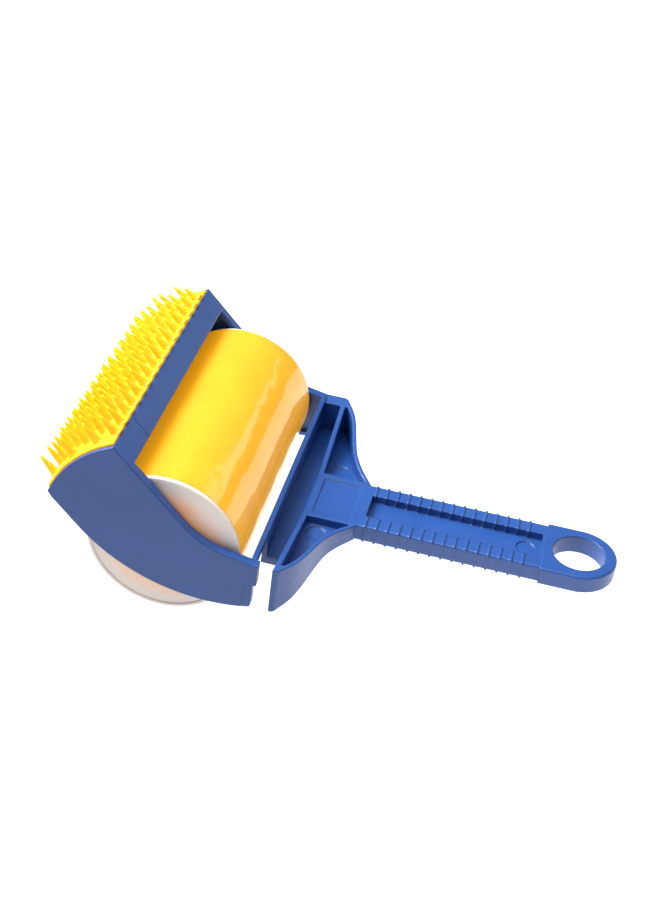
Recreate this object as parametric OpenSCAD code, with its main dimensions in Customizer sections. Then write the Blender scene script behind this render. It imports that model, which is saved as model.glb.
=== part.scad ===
// Washable lint roller with a rubber finger pad, resting on its roller and its hanging ring.
// Everything is drawn in the cradle's frame: the roller turns on Y through the origin, the handle
// runs along +X and its ribbed face looks up. at_rest() then tips the part onto the surface.

/* [Roller] */
// Outer radius of the sticky roller
roller_r = 39.6; // [36:0.1:44]
// Length of the roller over its end caps
roller_len = 146.6; // [130:0.2:170]
// Thickness of the sticky sleeve
sleeve_t = 1.5; // [1:0.1:2.5]
// Wall of the core tube
core_wall = 2.6; // [1.8:0.1:4]
// Width of the raised rim round each end cap
cap_rim = 1.9; // [1.2:0.1:6]
// Depth of the sunk middle of each end cap
cap_sink = 0.5; // [0.3:0.1:1]
// Thickness of each end cap
cap_t = 1.8; // [1.4:0.1:3]
// Length of the cap's skirt inside the tube
skirt_len = 9; // [5:0.5:16]
// Radius of the journal that each cap turns on
journal_r = 4; // [3:0.1:5.5]

/* [Cradle] */
// Clearance between the roller's ends and the rims of the side plates
end_gap = 1.7; // [1:0.1:4]
// Depth of the rim round each side plate, with the plate
rim_depth = 5; // [4:0.1:7]
// Thickness of each side plate
plate_t = 2.5; // [2:0.1:3.2]
// Wall of the rims, the pad housing and the front flanges
rim_t = 2.4; // [1.8:0.1:3]
// Gap from the roller to the rounded front edge of the side plates
front_gap = 21.4; // [18:0.1:26]
// Angle of the upper end of the rounded front edge
front_a1 = 114.2; // [112:0.1:118]
// Angle of the lower end of the rounded front edge
front_a2 = 159.3; // [156:0.1:162]
// Width of the flat strip along the top of the pad housing
strip_w = 13.2; // [9:0.1:15]
// Width of the flange along the foot of the pad housing
foot_w = 12; // [8:0.1:14]
// Gap from the roller to the rear wall
rear_gap = 5.8; // [4.6:0.1:8]
// Thickness of the rear wall
wall_t = 2.7; // [2.4:0.1:3.4]
// Height of the rear wall's upper edge over the roller axis
rear_top = 4.9; // [4:0.1:7]
// Depth of the side plates' lower rear corner under the roller axis
rear_drop = 21.2; // [20:0.1:23]
// Distance behind the axis of the bend in the plates' upper edge
waist_x = 20.5; // [17:0.1:24]
// Height over the axis of the bend in the plates' upper edge
waist_z = 10.1; // [8.5:0.1:12]
// Radius of the bend in the plates' upper edge
waist_r = 40; // [20:1:50]
// Depth of the plates' rounded belly under the roller axis
belly_drop = 22.4; // [21:0.1:25]

/* [End cover] */
// Distance from the cover's outer face to the seam across the strip
strip_seam = 27.6; // [20:0.2:34]
// Distance from the cover's outer face to the near end of the rear wall
wall_seam = 30; // [24:0.5:36]
// Height of the cover's rear rail
rail_h = 3.5; // [3:0.1:4.2]
// Length of the cover's tongues inside the frame
tongue_len = 8; // [5:0.5:12]
// Gap between the cover and the frame
cover_gap = 0.2; // [0.1:0.05:0.4]

/* [Finger pad] */
// Thickness of the pad's rubber sheet
pad_t = 1.6; // [1.2:0.1:2.2]
// Length of a finger above the sheet
finger_len = 9.8; // [6:0.1:14]
// Radius at a finger's root
finger_root_r = 2.2; // [1.4:0.05:2.6]
// Radius at a finger's point
finger_tip_r = 0.7; // [0.2:0.05:1]
// Direction in which all fingers point, from the handle's direction
finger_dir = 141; // [124:0.5:154]
// Distance from the strip's edge to the first row of fingers
pad_band = 3; // [2.8:0.1:8]
// Rows of fingers round the pad
finger_rows = 6; // [3:1:7]
// Fingers in a full row
finger_cols = 17; // [9:1:19]

/* [Head] */
// Length from the rear wall to the neck
head_len = 41.6; // [36:0.1:50]
// Distance from the rear wall's front face to the wing tips' corner
tip_reach = 14.3; // [13.5:0.1:17]
// Distance from the rear wall's front face to the front rib at the wing tips
rib_reach = 11.8; // [10.5:0.1:12]
// How much further back the front rib stands in the middle
rib_bow = 1.3; // [0:0.1:2]
// Thickness of the front rib
rib_t = 2.5; // [1.8:0.1:3]
// Wall of the wings
wing_wall = 2.1; // [1.6:0.1:2.8]
// Thickness of the wing tips' end walls
tip_wall = 7; // [5.5:0.1:9]
// Half the width of the raised block between the pockets
block_half = 19.4; // [17:0.1:22]
// Depth of the pockets beside the block
pocket_depth = 4.6; // [3.6:0.1:5.2]
// Drop of the pockets' floor from the block to the wing tips
floor_drop = 6; // [4:0.1:7]
// Thickness of the floor
web_t = 2.6; // [2:0.1:3.2]
// Margin round the sunk panel on the block
panel_margin = 4.2; // [3:0.1:7]
// Depth of the sunk panel
panel_sink = 0.5; // [0.3:0.05:0.9]
// Where the head's underside starts to slope down
keel_y = 34; // [28:0.5:44]
// Radius of the round ejector marks
mark_r = 5; // [3:0.1:6]
// Depth of the round ejector marks
mark_sink = 0.5; // [0.2:0.05:0.7]

/* [Handle] */
// Height of the handle's top face over the roller axis
grip_top = -4.5; // [-6:0.1:-3.5]
// Thickness of the handle
grip_t = 9.5; // [8.5:0.1:12]
// Width of the grip
grip_w = 36.7; // [32:0.1:40]
// Length of the grip from the neck to the ring block
grip_len = 95.7; // [70:0.1:130]
// Width of the hollow along the grip
hollow_w = 18.8; // [12:0.1:22]
// Depth of the hollow
hollow_depth = 4.1; // [2.5:0.1:4.2]
// Radius of the handle's long edges
edge_r = 1.2; // [0.6:0.1:1.8]
// Ridges across each rail
ridge_count = 15; // [8:1:20]
// Width of a ridge
ridge_w = 1.1; // [0.8:0.1:1.8]
// How far a ridge stands out
ridge_h = 0.5; // [0.3:0.05:0.8]

/* [Ring] */
// Outer radius of the ring
ring_r = 19.8; // [19:0.1:22]
// Radius of the hanging hole
hole_r = 13.8; // [8:0.1:15]
// Length of the square part of the ring block
ring_block = 18; // [15:0.1:26]
// How far the ring block stands proud of the grip, above and below
ring_proud = 0.3; // [0.1:0.05:0.6]

/* [Hidden] */
$fn = 96;

// Overall places worked out from the sizes above
half_w = roller_len / 2 + end_gap + rim_depth;
plate_r = roller_r + front_gap;
bed_r = plate_r - 0.3;
wall_x = roller_r + rear_gap;
rear_x = wall_x + wall_t;
neck_x = wall_x + head_len;
ring_x0 = neck_x + grip_len;
ring_x = ring_x0 + ring_block;
grip_half = grip_w / 2;
grip_bottom = grip_top - grip_t;
ring_top = grip_top + ring_proud;
ring_bottom = grip_bottom - ring_proud;
pad_fit = 0.05;
over = 1;

// Outlines of the side plates
strip_corner = plate_r * [cos(front_a1), sin(front_a1)];
waist = [waist_x, waist_z];
strip_dir = unit(waist - strip_corner);
strip_in = [strip_dir.y, -strip_dir.x];
foot_top = plate_r * [cos(front_a2), sin(front_a2)];
foot_turn = foot_top + [2.3, -3.2];
foot_dir = [0.7, -0.714];
belly_front = foot_turn + 18 * foot_dir;
belly_low = [12, -belly_drop];
rear_low = [rear_x, -rear_drop];
arc_steps = 18;

// Bearings of the roller
cup_r = 8;
cup_clear = 0.6;
cup_mouth = roller_len / 2 + cup_clear;
cup_bottom = half_w - plate_t + 0.7;
journal_fit = 0.08;
journal_end = cup_bottom - 0.3;
core_r = roller_r - sleeve_t;
tube_r = core_r - core_wall;
cap_fit = 0.05;

// Sections of the head
tip_x = wall_x + tip_reach;
rib_x = wall_x + rib_reach;
tip_bottom = -rear_drop;
floor_mid = grip_top - pocket_depth;
floor_tip = floor_mid - floor_drop;
wing_knots = [[0, 0], [0.228, 0.169], [0.355, 0.333], [0.445, 0.495], [0.5625, 0.678],
              [0.746, 0.84], [1, 1]];
wing_steps = 3;
pocket_end = half_w - tip_wall;
part_z = grip_top - grip_t / 2;
part_step = 0.3;

// Grip
hollow_start = 3;
hollow_end = 1.7;
ridge_start = 3.6;
ridge_pitch = (grip_len - ridge_start - 10.1) / (ridge_count - 1);

// Rest: the roller's line and the ring's lower rim touch one flat surface
rim_arm = [ring_x + ring_r - edge_r, -(ring_bottom + edge_r)];
rest_tilt = asin((roller_r - edge_r) / norm(rim_arm)) - atan2(rim_arm.y, rim_arm.x);
first_row = front_a1 + pad_band / plate_r * 57.3;
last_row = front_a2 - (finger_root_r + 3.4) / plate_r * 57.3;
finger_end = (bed_r + pad_t) * [cos(last_row), sin(last_row)]
    + finger_len * [cos(finger_dir), sin(finger_dir)];
x_front = finger_end.x * cos(rest_tilt) + finger_end.y * sin(rest_tilt) - finger_tip_r;
x_back = (ring_x + ring_r - edge_r) * cos(rest_tilt) + (ring_top - edge_r) * sin(rest_tilt) + edge_r;

function unit(v) = v / norm(v);
function wrap(a) = a > 180 ? a - 360 : a < -180 ? a + 360 : a;

// Points on an arc round c
function arc(c, r, a1, a2, steps) =
    [for (i = [0:steps]) let(a = a1 + (a2 - a1) * i / steps) c + r * [cos(a), sin(a)]];

// Centre of the circle through three points
function centre_of(a, b, c) = let(
    d = 2 * (a.x * (b.y - c.y) + b.x * (c.y - a.y) + c.x * (a.y - b.y)),
    aa = a * a, bb = b * b, cc = c * c)
    [(aa * (b.y - c.y) + bb * (c.y - a.y) + cc * (a.y - b.y)) / d,
     (aa * (c.x - b.x) + bb * (a.x - c.x) + cc * (b.x - a.x)) / d];

// Arc from a to c that passes through b
function arc_through(a, b, c, steps) = let(
    m = centre_of(a, b, c),
    a1 = atan2(a.y - m.y, a.x - m.x),
    a2 = a1 + wrap(atan2(c.y - m.y, c.x - m.x) - a1))
    arc(m, norm(a - m), a1, a2, steps);

// A corner at v between a and b, rounded with radius r
function corner(a, v, b, r, steps) = let(
    ua = unit(a - v), ub = unit(b - v),
    half = acos(ua * ub) / 2,
    c = v + unit(ua + ub) * r / sin(half),
    p1 = v + ua * r / tan(half),
    p2 = v + ub * r / tan(half),
    a1 = atan2(p1.y - c.y, p1.x - c.x),
    a2 = a1 + wrap(atan2(p2.y - c.y, p2.x - c.x) - a1))
    arc(c, r, a1, a2, steps);

// Outline from points [x, y, radius]: a radius of 0 keeps the point as it is
function xy(p) = [p.x, p.y];
function rounded(pts, steps = 5) = let(n = len(pts))
    [for (i = [0:n - 1]) each pts[i].z == 0 ? [xy(pts[i])] :
        corner(xy(pts[(i + n - 1) % n]), xy(pts[i]), xy(pts[(i + 1) % n]), pts[i].z, steps)];

// Outline points moved inwards by d, for points that run clockwise
function side_normal(a, b) = let(u = unit(b - a)) [u.y, -u.x];
function inset(pts, d) = let(n = len(pts))
    [for (i = [0:n - 1]) let(
        p = xy(pts[i]),
        n1 = side_normal(xy(pts[(i + n - 1) % n]), p),
        n2 = side_normal(p, xy(pts[(i + 1) % n])),
        q = p + d * (n1 + n2) / (1 + n1 * n2),
        turn = n1.x * n2.y - n1.y * n2.x,
        r = pts[i].z)
        [q.x, q.y, r == 0 ? 0 : turn < 0 ? max(r - d, 0.3) : r + d]];

// A rectangle with rounded corners, from low corner a to high corner b
function rounded_box(a, b, r) =
    rounded([[a.x, a.y, r], [a.x, b.y, r], [b.x, b.y, r], [b.x, a.y, r]]);

// Side plate outline with its front edge at radius r, as [x, z, radius] points, clockwise
function plate_points(r) = concat(
    [for (p = arc([0, 0], r, front_a2, front_a1, arc_steps)) [p.x, p.y, 0]],
    [[waist.x, waist.y, waist_r], [rear_x, rear_top, 1], [rear_low.x, rear_low.y, 2]],
    [for (p = arc_through(rear_low + [-4, -0.6], belly_low, belly_front, arc_steps)) [p.x, p.y, 0]],
    [[foot_turn.x, foot_turn.y, 1.5]]);

// A smooth curve through all knots, with the given steps between two of them
function smooth(v, steps) = let(n = len(v)) concat(
    [for (i = [0:n - 2], j = [0:steps - 1]) let(
        k = j / steps, a = v[i], b = v[i + 1],
        pull = i == 0 ? b - a : (b - v[i - 1]) / 2,
        push = i == n - 2 ? b - a : (v[i + 2] - a) / 2)
        a * (1 + k * k * (2 * k - 3)) + b * k * k * (3 - 2 * k)
            + pull * k * (1 - k) * (1 - k) - push * k * k * (1 - k)],
    [v[n - 1]]);

// Outer edge of one wing, from its tip to the neck
function wing_edge() = [for (p = smooth(wing_knots, wing_steps))
    [tip_x + (neck_x - tip_x) * p.x, half_w - (half_w - grip_half) * p.y]];

// Plan of the head as [x, y, radius] points, clockwise
function head_points() = let(edge = wing_edge(), n = len(edge)) concat(
    [[wall_x, -half_w, 0], [wall_x, half_w, 0]],
    [for (i = [0:n - 1]) [edge[i].x, edge[i].y, i == 0 ? 3.2 : 0]],
    [for (i = [n - 1:-1:0]) [edge[i].x, -edge[i].y, i == 0 ? 3.2 : 0]]);

// Angle of each row of fingers
function row_angle(i) = first_row + (last_row - first_row) * i / (finger_rows - 1);

// Every second row, counted from the last, stands half a pitch aside
function stagger(i) = (finger_rows - 1 - i) % 2;

module at_rest() {
    translate([-(x_front + x_back) / 2, 0, roller_r]) rotate([0, rest_tilt, 0]) children();
}

// A flat shape drawn in X and Z, carried along Y from y0 to y1
module along_y(y0, y1) {
    translate([0, y1, 0]) rotate([90, 0, 0]) linear_extrude(y1 - y0) children();
}

// A flat shape drawn in Y and Z, carried along X from x0 to x1
module along_x(x0, x1) {
    translate([x0, 0, 0]) rotate([90, 0, 90]) linear_extrude(x1 - x0) children();
}

// A flat shape drawn in X and Y, carried up from z0 to z1
module along_z(z0, z1) {
    translate([0, 0, z0]) linear_extrude(z1 - z0) children();
}

module disc_y(r, y0, y1) {
    along_y(y0, y1) circle(r = r);
}

// Side plate: outline, and the band that its rim follows
module plate_shape() {
    polygon(rounded(plate_points(plate_r)));
}

module plate_band(r, wall) {
    difference() {
        polygon(rounded(plate_points(r)));
        polygon(rounded(inset(plate_points(r), wall)));
    }
}

// Flat strip on top of the pad housing, from its outer corner, between the depths top and wall
module strip_shape(wall, from = 0, to = strip_w, top = 0) {
    polygon([strip_corner + from * strip_dir + top * strip_in,
             strip_corner + to * strip_dir + top * strip_in,
             strip_corner + to * strip_dir + wall * strip_in,
             strip_corner + from * strip_dir + wall * strip_in]);
}

// The part of the plate's band that becomes the pad housing
module housing_zone() {
    foot_end = foot_turn + foot_w * foot_dir;
    polygon([strip_corner + strip_w * strip_dir - 6 * strip_in,
             strip_corner + strip_w * strip_dir + 6 * strip_in,
             foot_end + 6 * [0.714, 0.7], foot_end - 6 * [0.714, 0.7],
             [-plate_r - 6, 0], [-plate_r - 6, plate_r]]);
}

// One side plate with its rim and bearing cup, for the side at +Y
// Under the end of the finger pad the rim stands at seat_r
module side_plate(seat_r) {
    difference() {
        union() {
            along_y(half_w - plate_t, half_w) plate_shape();
            along_y(half_w - rim_depth, half_w) plate_band(plate_r, rim_t);
            disc_y(cup_r, cup_mouth, half_w - plate_t + 0.5);
        }
        disc_y(journal_r + journal_fit, cup_mouth - over, cup_bottom);
        along_y(half_w - rim_depth - over, half_w - plate_t) difference() {
            circle(r = plate_r + 5);
            circle(r = seat_r);
        }
    }
}

// Front housing that backs the finger pad and ties the plates together
module pad_housing() {
    near_end = -half_w + rim_depth + cover_gap;
    seam = -half_w + strip_seam + cover_gap;
    difference() {
        along_y(near_end, half_w - plate_t + 0.5) intersection() {
            plate_band(plate_r, rim_t);
            housing_zone();
            union() {
                circle(r = bed_r);
                translate(strip_corner) circle(r = 0.55);
            }
        }
        along_y(near_end - over, seam) strip_shape(rim_t + cover_gap, -3, strip_w + 2, -over);
    }
}

// Height limits of the head across its width
function height_at(y, y0, z0, z1) =
    abs(y) <= y0 ? z0 : z0 + (z1 - z0) * (abs(y) - y0) / (half_w - y0);

module head_envelope(top_shift = 0) {
    y1 = half_w + over;
    top = [for (y = [-y1, -block_half, block_half, y1])
        [y, height_at(y, block_half, grip_top, rear_top) + top_shift]];
    bottom = [for (y = [y1, keel_y, -keel_y, -y1])
        [y, height_at(y, keel_y, grip_bottom, tip_bottom)]];
    polygon(concat(top, bottom));
}

// Everything above the sloping floor, or below it when drop is the floor's thickness
module over_floor() {
    y1 = half_w + over;
    polygon(concat([for (y = [-y1, -block_half, block_half, y1])
        [y, height_at(y, block_half, floor_mid, floor_tip)]], [[y1, 30], [-y1, 30]]));
}

module under_floor() {
    y1 = half_w + over;
    polygon(concat([for (y = [-y1, -block_half, block_half, y1])
        [y, height_at(y, block_half, floor_mid, floor_tip) - web_t]], [[y1, -60], [-y1, -60]]));
}

module head_plan(d = 0) {
    polygon(rounded(inset(head_points(), d)));
}

// Front rib: its front face is bowed back in the middle; shift moves it back
function rib_front(shift) = [[rib_x + shift, -half_w - over], [rib_x + rib_bow + shift, -block_half],
    [rib_x + rib_bow + shift, block_half], [rib_x + shift, half_w + over]];

module behind_rib(shift) {
    polygon(concat(rib_front(shift), [[neck_x + 40, half_w + over], [neck_x + 40, -half_w - over]]));
}

module pocket_plan() {
    intersection() {
        head_plan(wing_wall);
        behind_rib(rib_t);
        difference() {
            translate([rib_x, -pocket_end]) square([head_len, 2 * pocket_end]);
            translate([rib_x - over, -block_half]) square([head_len + 40, 2 * block_half]);
        }
    }
}

module channel_plan(near_y) {
    intersection() {
        translate([rear_x, near_y]) square([rib_reach + 5, pocket_end - near_y]);
        difference() {
            translate([rear_x - 1, -half_w - over]) square([30, 2 * half_w + 2 * over]);
            behind_rib(0);
        }
    }
}

module notch_plan() {
    difference() {
        translate([wall_x - over, -half_w - over]) square([30, wall_seam + over]);
        behind_rib(0);
    }
}

// Plan of the hollow under the head, clear of the walls and the rib
module keel_plan() {
    intersection() {
        head_plan(wing_wall + 0.3);
        behind_rib(rib_t + 0.3);
        translate([rib_x, -pocket_end]) square([head_len - 4, 2 * pocket_end]);
    }
}

// Shallow round recess that an ejector leaves on a floor that falls by slope along Y
module ejector_mark(x, y, z, slope = 0) {
    translate([x, y, z]) rotate([-atan(slope), 0, 0]) translate([0, 0, -mark_sink])
        cylinder(r = mark_r, h = mark_sink + over);
}

module pocket_mark(y) {
    slope = floor_drop / (half_w - block_half);
    ejector_mark(rib_x + rib_bow + rib_t + mark_r + 1.5, y,
        height_at(y, block_half, floor_mid, floor_tip), y > 0 ? slope : -slope);
}

module rear_wall() {
    intersection() {
        along_y(-half_w + wall_seam, half_w - 0.5) translate([wall_x, -60]) square([wall_t, 60 + rear_top]);
        along_x(wall_x - over, rear_x + over) head_envelope(30);
    }
}

module head() {
    difference() {
        union() {
            intersection() {
                union() {
                    along_z(part_z, 30) head_plan();
                    along_z(-60, part_z) head_plan(part_step);
                }
                along_x(wall_x - over, neck_x + over) head_envelope();
            }
            rear_wall();
        }
        intersection() {
            along_z(-60, 30) union() {
                pocket_plan();
                channel_plan(-half_w + wall_seam - over);
            }
            along_x(wall_x, neck_x + over) over_floor();
        }
        along_z(-60, 30) notch_plan();
        intersection() {
            along_z(-60, 30) union() {
                keel_plan();
                channel_plan(-half_w + wall_seam + rim_t);
            }
            along_x(wall_x, neck_x + over) under_floor();
        }
        block_hollow();
        panel_cut();
        rail_slot();
        pocket_mark(block_half + 13.5);
        pocket_mark(-block_half - mark_r - 1.3);
    }
}

// Hollow inside the raised block, open below
module block_hollow() {
    x0 = rib_x + rib_bow + rib_t + 0.3;
    translate([x0, -block_half + web_t, -60])
        cube([neck_x - x0 - 1, 2 * (block_half - web_t), 60 + grip_top - panel_sink - web_t]);
}

// Sunk panel on the block
module panel_cut() {
    x0 = rib_x + rib_bow + panel_margin;
    translate([x0, -block_half + panel_margin, grip_top - panel_sink])
        cube([neck_x - x0 - panel_margin, 2 * (block_half - panel_margin), 10]);
}

// Slot in the near end of the rear wall for the cover's tongue
module rail_slot() {
    near = -half_w + wall_seam;
    translate([wall_x + wall_t / 2 - 0.8, near - over, rear_top - rail_h + 0.5])
        cube([1.6, tongue_len + over + 0.5, rail_h - 1.1]);
}

// Grip: two ridged rails with a web between them
module grip_section() {
    polygon(rounded_box([-grip_half, grip_bottom], [grip_half, grip_top], edge_r));
}

module ridge(x, side) {
    a = hollow_w / 2 - ridge_h;
    b = grip_half + ridge_h;
    lo = grip_bottom - ridge_h;
    hi = grip_top + ridge_h;
    along_x(x, x + ridge_w) polygon(rounded_box(
        [side > 0 ? a : -b, lo], [side > 0 ? b : -a, hi], edge_r));
}

module grip() {
    x0 = neck_x + hollow_start;
    x1 = ring_x0 - hollow_end;
    difference() {
        along_x(neck_x - 2, ring_x0 + over) grip_section();
        translate([x0, -hollow_w / 2, grip_top - hollow_depth]) cube([x1 - x0, hollow_w, 20]);
        translate([x0, -hollow_w / 2, grip_bottom - 20])
            cube([x1 - x0, hollow_w, 20 + grip_t - hollow_depth - web_t]);
        ejector_mark(x1 - 7.7, 0.6, grip_top - hollow_depth);
    }
    for (i = [0:ridge_count - 1], side = [-1, 1])
        ridge(neck_x + ridge_start + i * ridge_pitch, side);
}

// Ring block with the hanging hole
module ring() {
    difference() {
        union() {
            translate([ring_x, 0, 0]) rotate_extrude() polygon(concat(
                [[0, ring_bottom], [0, ring_top]],
                corner([0, ring_top], [ring_r, ring_top], [ring_r, ring_bottom], edge_r, 5),
                corner([ring_r, ring_top], [ring_r, ring_bottom], [0, ring_bottom], edge_r, 5)));
            along_x(ring_x0, ring_x)
                polygon(rounded_box([-ring_r, ring_bottom], [ring_r, ring_top], edge_r));
        }
        translate([ring_x, 0, ring_bottom - over]) cylinder(r = hole_r, h = grip_t + 4 * over);
    }
}

module handle_frame() {
    color([0.2, 0.38, 0.74]) at_rest() {
        side_plate(bed_r);
        pad_housing();
        head();
        grip();
        ring();
    }
}

// Removable cover at the near end, with the last stretch of the strip and a rear rail
module end_cover() {
    face = -half_w;
    stub_end = face + strip_seam;
    tongue_low = rim_t + cover_gap + 1.8;
    rail_end = face + wall_seam - cover_gap;
    color([0.2, 0.38, 0.74]) at_rest() {
        difference() {
            mirror([0, 1, 0]) side_plate(bed_r - cover_gap);
            translate([rear_x - 4.4, face - over, -rear_drop - over]) cube([10, over + 0.3, 15]);
        }
        along_y(face + 1, stub_end) strip_shape(rim_t);
        along_y(stub_end - 7, stub_end) strip_shape(tongue_low, 3.5, 11.5, 1);
        along_y(stub_end - over, stub_end + tongue_len)
            strip_shape(tongue_low, 3.5, 11.5, rim_t + cover_gap);
        translate([rear_x - 0.5, face, -7.2]) cube([2.3, rim_depth, rear_top + 7.2]);
        translate([wall_x, face + 1, rear_top - rail_h]) cube([wall_t, rail_end - face - 1, rail_h]);
        translate([wall_x + wall_t / 2 - 0.6, rail_end - over, rear_top - rail_h + 0.7])
            cube([1.2, tongue_len + over, rail_h - 1.5]);
    }
}

// One finger, rooted in the sheet
module finger() {
    cylinder(r1 = finger_root_r, r2 = finger_tip_r, h = finger_len + pad_t);
}

module finger_pad() {
    length = 2 * (half_w - plate_t - cover_gap);
    pitch = (length - 2 * finger_root_r - 5.6) / (finger_cols - 1);
    skin = bed_r + pad_t;
    color([1, 0.86, 0.1]) at_rest() difference() {
        union() {
            along_y(-length / 2, length / 2) polygon(concat(
                arc([0, 0], skin, front_a1 + 0.6, front_a2 - 0.6, 24), [0.9 * bed_r * [cos(136), sin(136)]]));
            for (row = [0:finger_rows - 1], col = [0:finger_cols - 1 - stagger(row)]) {
                a = row_angle(row);
                y = (col + stagger(row) / 2) * pitch - (finger_cols - 1) * pitch / 2;
                translate([skin * cos(a), y, skin * sin(a)]) rotate([0, 90 - finger_dir, 0])
                    translate([0, 0, -pad_t]) finger();
            }
        }
        disc_y(bed_r + pad_fit, -half_w, half_w);
    }
}

// Core tube of the roller
module roller_core() {
    half = roller_len / 2 - cap_t;
    color([0.93, 0.9, 0.86]) at_rest() difference() {
        disc_y(core_r, -half, half);
        disc_y(tube_r, -half - over, half + over);
    }
}

module sticky_sleeve() {
    half = roller_len / 2 - cap_t;
    color([1, 0.84, 0.12]) at_rest() difference() {
        disc_y(roller_r, -half, half);
        disc_y(core_r, -half - over, half + over);
    }
}

// End cap for the side at +Y: a disc over the ends of the tube and the sleeve, sunk inside its rim,
// a skirt inside the tube and a journal
module roller_cap() {
    face = roller_len / 2;
    inner = face - cap_t;
    rim_r = roller_r - 0.4;
    difference() {
        union() {
            disc_y(rim_r, inner, face - 0.5);
            translate([0, face - 0.5, 0]) rotate([-90, 0, 0]) cylinder(r1 = rim_r, r2 = rim_r - 0.5, h = 0.5);
            disc_y(tube_r - cap_fit, inner - skirt_len, inner);
            disc_y(journal_r, face - over, journal_end);
        }
        disc_y(tube_r - 2, inner - skirt_len - over, inner);
        difference() {
            disc_y(rim_r - cap_rim, face - cap_sink, face + over);
            disc_y(journal_r + 3, face - cap_sink - over, face + 2 * over);
        }
    }
    disc_y(journal_r + 2, inner - skirt_len / 2, inner);
}

module roller_cap_near() {
    color([0.93, 0.9, 0.86]) at_rest() mirror([0, 1, 0]) roller_cap();
}

module roller_cap_far() {
    color([0.93, 0.9, 0.86]) at_rest() roller_cap();
}

handle_frame();
end_cover();
finger_pad();
roller_core();
sticky_sleeve();
roller_cap_near();
roller_cap_far();
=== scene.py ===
"""Washable lint roller: looks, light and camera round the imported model."""
import math
import random

import bmesh
import bpy
from mathutils import Matrix, Vector


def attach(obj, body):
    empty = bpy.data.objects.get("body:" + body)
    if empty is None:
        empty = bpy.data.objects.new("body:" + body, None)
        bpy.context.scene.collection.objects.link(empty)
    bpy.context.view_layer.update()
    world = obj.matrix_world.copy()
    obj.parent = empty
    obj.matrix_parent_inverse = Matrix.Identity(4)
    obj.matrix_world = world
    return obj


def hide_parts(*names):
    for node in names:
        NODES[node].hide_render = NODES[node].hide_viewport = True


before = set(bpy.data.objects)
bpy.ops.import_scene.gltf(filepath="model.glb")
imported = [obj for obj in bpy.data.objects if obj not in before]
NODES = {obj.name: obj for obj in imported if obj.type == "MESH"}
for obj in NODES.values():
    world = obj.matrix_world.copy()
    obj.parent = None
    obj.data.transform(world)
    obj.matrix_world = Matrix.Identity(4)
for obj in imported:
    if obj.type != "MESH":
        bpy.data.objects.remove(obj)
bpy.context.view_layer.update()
scene = bpy.context.scene


# ---------------------------------------------------------------- the cradle's frame
# Sizes in mm, in the frame that part.scad draws in: roller axis on Y, handle along +X
MM = 0.001
TILT = math.radians(6.647966)       # what at_rest() in part.scad tips the object by


def box_centre(node):
    """World position of the middle of a node's bounding box."""
    corners = [node.matrix_world @ Vector(c) for c in node.bound_box]
    return sum(corners, Vector()) / len(corners)


AXIS = box_centre(NODES["sticky_sleeve"])
AXIS_LOCAL = NODES["roller_cap_near"].matrix_world.inverted() @ AXIS


def place(x, y, z):
    """World position of a point given in the cradle's frame."""
    c, s = math.cos(TILT), math.sin(TILT)
    return AXIS + Vector((x * c + z * s, y, -x * s + z * c)) * MM


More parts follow.
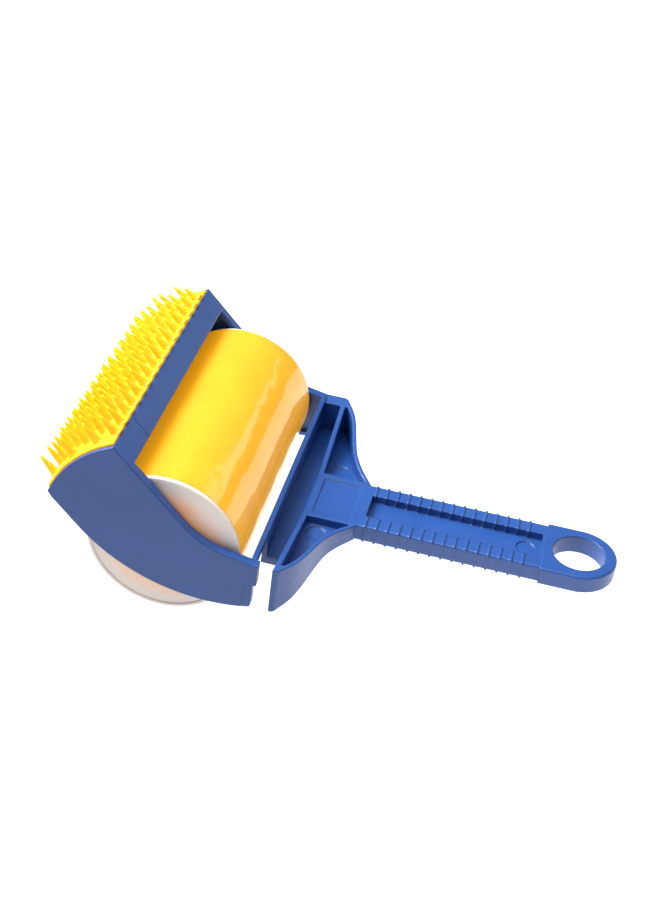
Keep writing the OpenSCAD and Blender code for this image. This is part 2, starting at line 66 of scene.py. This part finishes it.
# ---------------------------------------------------------------- materials
class Nodes:
    """Short calls for building one material. Lengths are in metres here."""

    def __init__(self, name):
        self.mat = bpy.data.materials.new(name)
        self.mat.use_nodes = True
        self.tree = self.mat.node_tree
        self.tree.nodes.clear()
        self.out = self.add("ShaderNodeOutputMaterial")
        self.bsdf = self.add("ShaderNodeBsdfPrincipled")
        self.link(self.bsdf.outputs["BSDF"], self.out.inputs["Surface"])
        self.coord = self.add("ShaderNodeTexCoord").outputs["Object"]

    # Building blocks
    def add(self, kind, **props):
        node = self.tree.nodes.new(kind)
        for key, value in props.items():
            setattr(node, key, value)
        return node

    def link(self, source, socket):
        self.tree.links.new(source, socket)

    def noise(self, scale, detail, stretch=None):
        """Smooth noise in the object's own coordinates, with scale cells to the metre."""
        node = self.add("ShaderNodeTexNoise")
        node.inputs["Scale"].default_value = scale
        node.inputs["Detail"].default_value = detail
        source = self.coord
        if stretch:
            mapping = self.add("ShaderNodeMapping")
            mapping.inputs["Scale"].default_value = stretch
            self.link(self.coord, mapping.inputs["Vector"])
            source = mapping.outputs["Vector"]
        self.link(source, node.inputs["Vector"])
        return node.outputs["Fac"]

    def remap(self, value, before, after):
        """The range before, stretched to the range after and clamped to it."""
        node = self.add("ShaderNodeMapRange")
        for key, number in zip(("From Min", "From Max", "To Min", "To Max"), before + after):
            node.inputs[key].default_value = number
        self.link(value, node.inputs["Value"])
        return node.outputs["Result"]

    def times(self, a, b):
        node = self.add("ShaderNodeMath", operation="MULTIPLY")
        self.link(a, node.inputs[0])
        self.link(b, node.inputs[1])
        return node.outputs["Value"]

    def along(self, direction):
        """How far a point lies in a direction from the object's own origin."""
        node = self.add("ShaderNodeVectorMath", operation="DOT_PRODUCT")
        node.inputs[1].default_value = direction
        self.link(self.coord, node.inputs[0])
        return node.outputs["Value"]

    def axis_distance(self, centre):
        """Distance from the line along Y through centre, in the object's own coordinates."""
        flat = self.add("ShaderNodeMapping")
        flat.inputs["Location"].default_value = (-centre.x, 0.0, -centre.z)
        flat.inputs["Scale"].default_value = (1.0, 0.0, 1.0)
        self.link(self.coord, flat.inputs["Vector"])
        size = self.add("ShaderNodeVectorMath", operation="LENGTH")
        self.link(flat.outputs["Vector"], size.inputs[0])
        return size.outputs["Value"]

    def mix(self, factor, a, b):
        """Blend of two colours, each a tuple or a socket."""
        node = self.add("ShaderNodeMix", data_type="RGBA")
        sockets = {(s.name, s.type): s for s in node.inputs}
        for key, colour in (("A", a), ("B", b)):
            if isinstance(colour, tuple):
                sockets[key, "RGBA"].default_value = (*colour, 1.0)
            else:
                self.link(colour, sockets[key, "RGBA"])
        self.link(factor, sockets["Factor", "VALUE"])
        return [s for s in node.outputs if s.type == "RGBA"][0]

    def blotches(self, scale, a, b):
        """Two near shades of one plastic, in soft patches."""
        return self.mix(self.remap(self.noise(scale, 3.0), (0.35, 0.65), (0.0, 1.0)), a, b)

    # Settings of the shader
    def set(self, **values):
        for key, value in values.items():
            self.bsdf.inputs[key.replace("_", " ")].default_value = value

    def colour(self, source):
        self.link(source, self.bsdf.inputs["Base Color"])

    def uneven_gloss(self, scale, detail, glossy, dull):
        value = self.remap(self.noise(scale, detail), (0.3, 0.7), (glossy, dull))
        self.link(value, self.bsdf.inputs["Roughness"])

    def scatter(self, weight, scale, radius):
        self.set(Subsurface_Weight=weight, Subsurface_Scale=scale, Subsurface_Radius=radius)

    def glow(self, colour, strength):
        """Emission, with a number or a socket as its strength."""
        self.set(Emission_Color=(*colour, 1.0))
        if isinstance(strength, float):
            self.set(Emission_Strength=strength)
        else:
            self.link(strength, self.bsdf.inputs["Emission Strength"])

    def bump(self, height, strength, distance, edge=0.0):
        """Fine relief; edge is the radius that moulded edges are shaded with."""
        node = self.add("ShaderNodeBump")
        node.inputs["Strength"].default_value = strength
        node.inputs["Distance"].default_value = distance
        self.link(height, node.inputs["Height"])
        if edge:
            rounded = self.add("ShaderNodeBevel", samples=6)
            rounded.inputs["Radius"].default_value = edge
            self.link(rounded.outputs["Normal"], node.inputs["Normal"])
        self.link(node.outputs["Normal"], self.bsdf.inputs["Normal"])


def moulded_blue():
    """Hard plastic of the handle and the end cover."""
    n = Nodes("moulded_blue")
    n.set(IOR=1.55)
    n.colour(n.blotches(38.0, (0.0142, 0.067, 0.268), (0.0168, 0.074, 0.292)))
    n.uneven_gloss(420.0, 5.0, glossy=0.28, dull=0.40)
    n.bump(n.noise(1500.0, 3.0), strength=0.06, distance=0.0002, edge=0.0012)
    return n.mat


def tacky_yellow():
    """Glossy rubber of the sleeve, in slow waves; its glow is painted light, an even orange
    emission that lifts the sleeve's shaded parts.
    """
    n = Nodes("tacky_yellow")
    n.set(IOR=1.5)
    n.scatter(weight=0.8, scale=0.014, radius=(1.0, 0.5, 0.05))
    n.bsdf.subsurface_method = "BURLEY"
    # painted light: an even orange glow that brightens the sleeve's shade beside the strip
    n.glow((1.0, 0.48, 0.0), 0.42)
    n.colour(n.blotches(26.0, (0.52, 0.285, 0.018), (0.54, 0.305, 0.022)))
    n.uneven_gloss(70.0, 4.0, glossy=0.07, dull=0.12)
    n.bump(n.noise(52.0, 1.0, stretch=(1.0, 0.75, 1.0)), strength=0.6, distance=0.0012)
    return n.mat


def finger_yellow():
    """Duller rubber of the finger pad, with the same kind of painted orange glow that lifts its
    shade.
    """
    n = Nodes("finger_yellow")
    n.set(IOR=1.45, Specular_IOR_Level=0.25)
    n.scatter(weight=1.0, scale=0.005, radius=(1.0, 0.65, 0.08))
    # painted light: a faint orange glow that softens the shade between the fingers
    n.glow((1.0, 0.56, 0.0), 0.16)
    n.colour(n.blotches(60.0, (0.83, 0.415, 0.012), (0.87, 0.455, 0.016)))
    n.uneven_gloss(500.0, 3.0, glossy=0.38, dull=0.5)
    n.bump(n.noise(900.0, 3.0), strength=0.08, distance=0.0003)
    return n.mat


def cap_cream():
    """Cream plastic with painted warm light near the middle of the cap: an orange tint and glow
    that stand in for yellow light from the sleeve.
    """
    # radii of the painted warm light near the middle of the cap
    painted_glow_radii = (0.021, 0.034)      # where the tint starts to fade, and where it ends
    n = Nodes("cap_cream")
    n.set(IOR=1.46)
    cream = n.blotches(45.0, (0.88, 0.78, 0.72), (0.91, 0.82, 0.76))
    painted_hub_glow = n.times(n.remap(n.axis_distance(AXIS_LOCAL), painted_glow_radii, (1.0, 0.0)),
                  n.remap(n.noise(60.0, 2.0), (0.3, 0.6), (0.6, 1.0)))
    # painted light: an orange tint in the base colour and a glow, both fading out from the middle
    n.colour(n.mix(painted_hub_glow, cream, (0.95, 0.42, 0.16)))
    n.glow((1.0, 0.40, 0.12), n.remap(painted_hub_glow, (0.0, 1.0), (0.0, 0.25)))
    n.uneven_gloss(300.0, 4.0, glossy=0.36, dull=0.5)
    n.bump(n.noise(700.0, 3.0), strength=0.05, distance=0.0003, edge=0.0004)
    return n.mat


BLUE = moulded_blue()
PAD = finger_yellow()
CREAM = cap_cream()
DRESS = {
    "handle_frame": BLUE,
    "end_cover": BLUE,
    "finger_pad": PAD,
    "roller_core": CREAM,
    "sticky_sleeve": tacky_yellow(),
    "roller_cap_near": CREAM,
    "roller_cap_far": CREAM,
}
for name, mat in DRESS.items():
    materials = NODES[name].data.materials
    materials.clear()
    materials.append(mat)


# ---------------------------------------------------------------- meshes and shading
def add_object(name, data):
    obj = bpy.data.objects.new(name, data)
    scene.collection.objects.link(obj)
    return obj


def add_solid(name, bm, mat):
    """Object with smooth faces that all look outwards, from a closed bmesh."""
    bmesh.ops.recalc_face_normals(bm, faces=bm.faces)
    mesh = bpy.data.meshes.new(name)
    bm.to_mesh(mesh)
    bm.free()
    mesh.materials.append(mat)
    mesh.polygons.foreach_set("use_smooth", [True] * len(mesh.polygons))
    return add_object(name, mesh)


def add_ring(bm, points):
    """Vertices at points of the cradle's frame."""
    return [bm.verts.new(place(*p)) for p in points]


def add_walls(bm, rings):
    """Quads between closed rings that follow one another."""
    for r0, r1 in zip(rings, rings[1:]):
        for i in range(len(r0)):
            k = (i + 1) % len(r0)
            bm.faces.new((r0[i], r1[i], r1[k], r0[k]))


def steps(a, b, count):
    """Even steps from a to b, both included."""
    return [a + (b - a) * i / count for i in range(count + 1)]


def smooth_by_angle(degrees):
    """Node group that shades smooth everywhere but at edges sharper than the angle."""
    group = bpy.data.node_groups.new("smooth_by_angle", "GeometryNodeTree")
    for direction in ("INPUT", "OUTPUT"):
        group.interface.new_socket("Geometry", in_out=direction, socket_type="NodeSocketGeometry")
    start = group.nodes.new("NodeGroupInput")
    end = group.nodes.new("NodeGroupOutput")
    faces = group.nodes.new("GeometryNodeSetShadeSmooth")
    edges = group.nodes.new("GeometryNodeSetShadeSmooth")
    edges.domain = "EDGE"
    edges.inputs["Shade Smooth"].default_value = False
    angle = group.nodes.new("GeometryNodeInputMeshEdgeAngle")
    sharp = group.nodes.new("FunctionNodeCompare")
    sharp.operation = "GREATER_THAN"
    sharp.inputs[1].default_value = math.radians(degrees)
    group.links.new(start.outputs[0], faces.inputs["Geometry"])
    group.links.new(faces.outputs["Geometry"], edges.inputs["Geometry"])
    group.links.new(angle.outputs[0], sharp.inputs[0])
    group.links.new(sharp.outputs[0], edges.inputs["Selection"])
    group.links.new(edges.outputs["Geometry"], end.inputs[0])
    return group


SMOOTH = smooth_by_angle(degrees=28.0)
WELD = 2e-6                         # m; corners nearer than this are one


def even_shading(obj):
    """Join split corners, and shade curved faces smooth between sharp edges."""
    weld = obj.modifiers.new("weld", "WELD")
    weld.merge_threshold = WELD
    smooth = obj.modifiers.new("smooth", "NODES")
    smooth.node_group = SMOOTH
    even = obj.modifiers.new("even_flats", "WEIGHTED_NORMAL")
    even.keep_sharp = True


# ---------------------------------------------------------------- finger pad
# The rubber sheet, in radii and angles (degrees) round the roller's axis
SKIN_R = 62.3                       # its outer face
BED_R = 60.78                       # its inner face
PAD_A1, PAD_A2 = 114.8, 158.7       # its upper and lower edge
PAD_HALF = 77.3
RIM = 0.75                          # radius of its rolled edges
ALONG, ACROSS, RIM_STEPS = 110, 34, 5
END_CUTS = (0.0, 0.12, 0.4, 0.8)    # sections of a rolled end, from the end inwards
END_BAND = 1.2                      # distance from the end to the evenly spaced sections

# The fingers: their rows and columns, and one finger
ROW_A1, ROW_A2 = 117.0, 154.0
ROWS, COLS = 6, 17
COL_PITCH, COL_START = 9.03, -71.8
ROOT_R, TIP_R = 2.25, 0.68
SIDES, TIP_STEPS = 14, 5
TIP_SWELL = 1.02                    # the point is a little blunter than a ball
# Height on a finger of PROFILE_LENGTH, and radius as a share of ROOT_R, from inside the sheet
PROFILE_LENGTH = 10.0
PROFILE = ((-0.7, 1.5), (-0.2, 1.26), (0.25, 1.1), (0.8, 1.0), (1.8, 0.92), (3.2, 0.81),
           (4.8, 0.69), (6.4, 0.57), (8.0, 0.45), (9.2, 0.36))

# How they stand: the angle that a finger points in and its length, each with its change toward
# the far end, its further change in the far end's upper corner, and its chance difference
POINT, POINT_FAR, POINT_CORNER, POINT_SPREAD = 135.0, 8.0, 10.0, 2.0
LENGTH, LENGTH_FAR, LENGTH_CORNER, LENGTH_SPREAD = 11.0, -1.0, -1.7, 0.2
CORNER_ROWS = 2.0
LEAN_SPREAD = 2.5
BEND_SPREAD = (0.3, 0.35, 0.3)


def around(r, degrees):
    """Point (x, z) at a radius and an angle."""
    a = math.radians(degrees)
    return Vector((r * math.cos(a), r * math.sin(a)))


def section(points, y):
    """Points (x, z) as a section of the cradle's frame at y."""
    return [(p.x, y, p.y) for p in points]


def add_sheet(bm):
    """Curved rubber sheet with rolled edges, as a closed loop of sections."""
    lip = math.degrees(RIM / SKIN_R)
    roll = [math.pi / 2 * k / RIM_STEPS for k in range(1, RIM_STEPS + 1)]
    rolled = [(SKIN_R - RIM * (1 - math.cos(t)), lip * (1 - math.sin(t))) for t in roll]
    loop = [(SKIN_R, a) for a in steps(PAD_A1 + lip, PAD_A2 - lip, ACROSS)]
    loop += [(r, PAD_A2 - a) for r, a in rolled]
    loop += [(BED_R, a) for a in steps(PAD_A2, PAD_A1, ACROSS)]
    loop += [(r, PAD_A1 + a) for r, a in reversed(rolled)]

    cuts = [-PAD_HALF + e for e in END_CUTS]
    cuts += steps(-PAD_HALF + END_BAND, PAD_HALF - END_BAND, ALONG)
    cuts += [PAD_HALF - e for e in reversed(END_CUTS)]
    rings = []
    for y in cuts:
        into_rim = max(RIM - (PAD_HALF - abs(y)), 0.0)
        pull = RIM - math.sqrt(max(RIM ** 2 - into_rim ** 2, 0.0))
        share = pull / (SKIN_R - BED_R)
        points = [around(max(r - share * (r - BED_R), BED_R), a) for r, a in loop]
        rings.append(add_ring(bm, section(points, y)))
    add_walls(bm, rings)
    bm.faces.new(rings[0])
    bm.faces.new(rings[-1])


def add_finger(bm, root, axis, length, bend):
    """One tapered rubber finger with a filleted root, a slight bend and a round point."""
    side = axis.orthogonal().normalized()
    other = axis.cross(side)
    outline = [(h * length / PROFILE_LENGTH if h > 0 else h, r * ROOT_R) for h, r in PROFILE]
    for k in range(1, TIP_STEPS):
        t = math.pi / 2 * k / TIP_STEPS
        outline.append((length - TIP_R * (1 - math.sin(t)), TIP_R * TIP_SWELL * math.cos(t)))
    turns = [2 * math.pi * j / SIDES for j in range(SIDES)]
    rings = []
    for h, r in outline:
        centre = root + axis * h + bend * (max(h, 0.0) / length) ** 2
        rings.append(add_ring(bm, [centre + side * (r * math.cos(a)) + other * (r * math.sin(a))
                                   for a in turns]))
    add_walls(bm, rings)
    tip = bm.verts.new(place(*(root + axis * length + bend)))
    last = rings[-1]
    for a, b in zip(last, last[1:] + last[:1]):
        bm.faces.new((a, b, tip))


def finger_pad():
    """Rubber sheet with staggered rows of fingers, in place of the plain CAD pad."""
    draw = random.Random(7)

    def spread(size):
        return draw.uniform(-size, size)

    bm = bmesh.new()
    add_sheet(bm)
    for row, row_angle in enumerate(steps(ROW_A1, ROW_A2, ROWS - 1)):
        aside = (ROWS - 1 - row) % 2
        for col in range(COLS - aside):
            y = COL_START + COL_PITCH * (col + 0.5 * aside)
            far = (y + PAD_HALF) / (2 * PAD_HALF)
            corner = far ** 3 * max(1.0 - row / CORNER_ROWS, 0.0)
            point = math.radians(POINT + POINT_FAR * far + POINT_CORNER * corner
                                 + spread(POINT_SPREAD))
            lean = math.radians(spread(LEAN_SPREAD))
            length = LENGTH + LENGTH_FAR * far + LENGTH_CORNER * corner + spread(LENGTH_SPREAD)
            axis = Vector((math.cos(point) * math.cos(lean), math.sin(lean),
                           math.sin(point) * math.cos(lean)))
            bend = Vector([spread(size) for size in BEND_SPREAD])
            root = around(SKIN_R, row_angle)
            add_finger(bm, Vector((root.x, y, root.y)), axis, length, bend)
    obj = add_solid("rubber_fingers", bm, PAD)
    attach(obj, "cradle")
    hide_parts("finger_pad")


# ---------------------------------------------------------------- pad housing
# Section of the housing's flat strip as (x, z), and the ends of its stretch on Y
STRIP_LOW = Vector((-15.675, 46.302))
STRIP_CORNER = Vector((-25.005, 55.639))
STRIP_Y1, STRIP_Y2 = -52.19, 79.98
PROUD = 0.04                        # how far the piece stands out of the strip
SUNK = 1.3                          # how far its lower end reaches into the strip
SETBACK = 0.02                      # from the strip's lower end
CORNER_R = 0.9                      # radius of its rounded edge
CORNER_ARC = steps(45.0, 115.0, 5)  # angles (degrees) of the points on that edge
BED_GAP = 0.06                      # left between the piece and the sheet's inner face
BED_ARC = (114.9, 116.0, 117.0, 118.0, 119.0)   # angles of the points below the sheet
INSIDE = ((-28.9, 52.3), (-25.45, 52.95), (-22.8, 51.6))        # points in the housing's wall


def housing_corner():
    """Outer corner of the flat strip, which the CAD solid's own stretch of it lacks."""
    along = (STRIP_CORNER - STRIP_LOW).normalized()
    out = Vector((along.y, -along.x))
    centre = STRIP_CORNER + out * PROUD - (along + out) * CORNER_R
    profile = [STRIP_LOW + out * PROUD + along * SETBACK]
    profile += [centre + around(CORNER_R, a) for a in CORNER_ARC]
    profile += [around(BED_R - BED_GAP, a) for a in BED_ARC]
    profile += [Vector(p) for p in INSIDE]
    profile.append(STRIP_LOW - out * SUNK + along * SETBACK)
    bm = bmesh.new()
    rings = [add_ring(bm, section(profile, y)) for y in (STRIP_Y1, STRIP_Y2)]
    add_walls(bm, rings)
    for ring in rings:
        bm.faces.new(ring)
    obj = add_solid("housing_corner", bm, BLUE)
    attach(obj, "cradle")
    return obj


finger_pad()
even_shading(housing_corner())
for name in ("handle_frame", "end_cover", "sticky_sleeve", "roller_cap_near", "roller_cap_far"):
    even_shading(NODES[name])


# ---------------------------------------------------------------- camera
# Fitted to the photograph; its place is measured from the middle of the roller
LENS, SENSOR = 65.503, 36.0
CAMERA_AT = Vector((0.221702, -0.678514, 0.486941))
CAMERA_RIGHT = Vector((0.975333, 0.220737, -0.000854))
CAMERA_UP = Vector((-0.122834, 0.545954, 0.828762))
CAMERA_AHEAD = Vector((-0.183405, 0.808214, -0.559601))


def camera():
    data = bpy.data.cameras.new("camera")
    data.sensor_width = SENSOR
    data.lens = LENS
    obj = add_object("camera", data)
    turn = Matrix((CAMERA_RIGHT, CAMERA_UP, -CAMERA_AHEAD)).transposed().to_4x4()
    obj.matrix_world = Matrix.Translation(AXIS + CAMERA_AT) @ turn
    scene.camera = obj


# ---------------------------------------------------------------- light and floor, in metres
AIM = Vector((0.0, 0.0, 0.03))      # what the lights face
LIGHTS = {                          # place, side of the square, watts
    "overhead": (Vector((0.0, 0.06, 1.63)), 1.3, 12.0),
    "key_light": (Vector((-0.51, 0.08, 1.42)), 0.6, 9.0),
    "side_light": (Vector((-0.92, 0.06, 1.21)), 0.8, 43.5),
}
SKY = 0.25
FLOOR_HALF = 6.0
FLOOR_DROP = 0.0002                 # keeps the floor clear of the faces that rest on it
FLOOR_BACK = (0.6, 0.8, 0.0)        # from the front of the picture to the back
FLOOR_BAND = (-0.16, 0.06)          # where it brightens along that direction
FLOOR_GLOW = (0.97, 1.6)            # its strength on either side of the band

# The card stands behind the roller as the camera sees it; its outline is in its own plane
CARD_TOWARDS = Vector((0.511, 0.809, 0.289)).normalized()
CARD_DISTANCE = 0.8
CARD_GLOW = 1.8
CARD_OUTLINE = ((-0.064, 0.049), (-0.051, 0.020), (0.057, -0.058), (0.160, -0.040),
                (-0.030, 0.290), (0.033, 0.094), (0.035, 0.013), (-0.012, 0.023))


def square_light(name, at, side, power):
    data = bpy.data.lights.new(name, "AREA")
    data.shape = "SQUARE"
    data.size = side
    data.energy = power
    obj = add_object(name, data)
    turn = (AIM - at).to_track_quat("-Z", "Y").to_matrix().to_4x4()
    obj.matrix_world = Matrix.Translation(at) @ turn
    obj.visible_camera = False


def sky(strength):
    """Even white light from all round."""
    world = bpy.data.worlds.new("studio")
    scene.world = world
    world.use_nodes = True
    background = world.node_tree.nodes["Background"]
    background.inputs["Color"].default_value = (1.0, 1.0, 1.0, 1.0)
    background.inputs["Strength"].default_value = strength


def floor():
    """Bright floor, a little brighter behind the object than in front of it."""
    mesh = bpy.data.meshes.new("floor")
    bm = bmesh.new()
    bmesh.ops.create_grid(bm, x_segments=1, y_segments=1, size=FLOOR_HALF)
    bm.to_mesh(mesh)
    bm.free()
    obj = add_object("floor", mesh)
    obj.location.z = -FLOOR_DROP
    n = Nodes("floor_white")
    n.set(Base_Color=(0.12, 0.12, 0.12, 1.0), Roughness=0.9, Specular_IOR_Level=0.1)
    n.glow((1.0, 0.99, 0.98), n.remap(n.along(FLOOR_BACK), FLOOR_BAND, FLOOR_GLOW))
    mesh.materials.append(n.mat)


def card():
    """White card that is seen only as a reflection on the sleeve."""
    right = CARD_TOWARDS.cross(Vector((0.0, 0.0, 1.0))).normalized()
    up = right.cross(CARD_TOWARDS)
    middle = AXIS + CARD_TOWARDS * CARD_DISTANCE
    corners = [middle + right * u + up * v for u, v in CARD_OUTLINE]
    mesh = bpy.data.meshes.new("card")
    mesh.from_pydata(corners, [], [list(range(len(corners)))])
    obj = add_object("card", mesh)
    obj.visible_camera = False
    n = Nodes("card_white")
    n.set(Base_Color=(0.1, 0.1, 0.1, 1.0))
    n.glow((1.0, 1.0, 1.0), CARD_GLOW)
    mesh.materials.append(n.mat)


camera()
floor()
card()
sky(SKY)
for name, (at, side, power) in LIGHTS.items():
    square_light(name, at, side, power)
scene.view_settings.view_transform = "Standard"
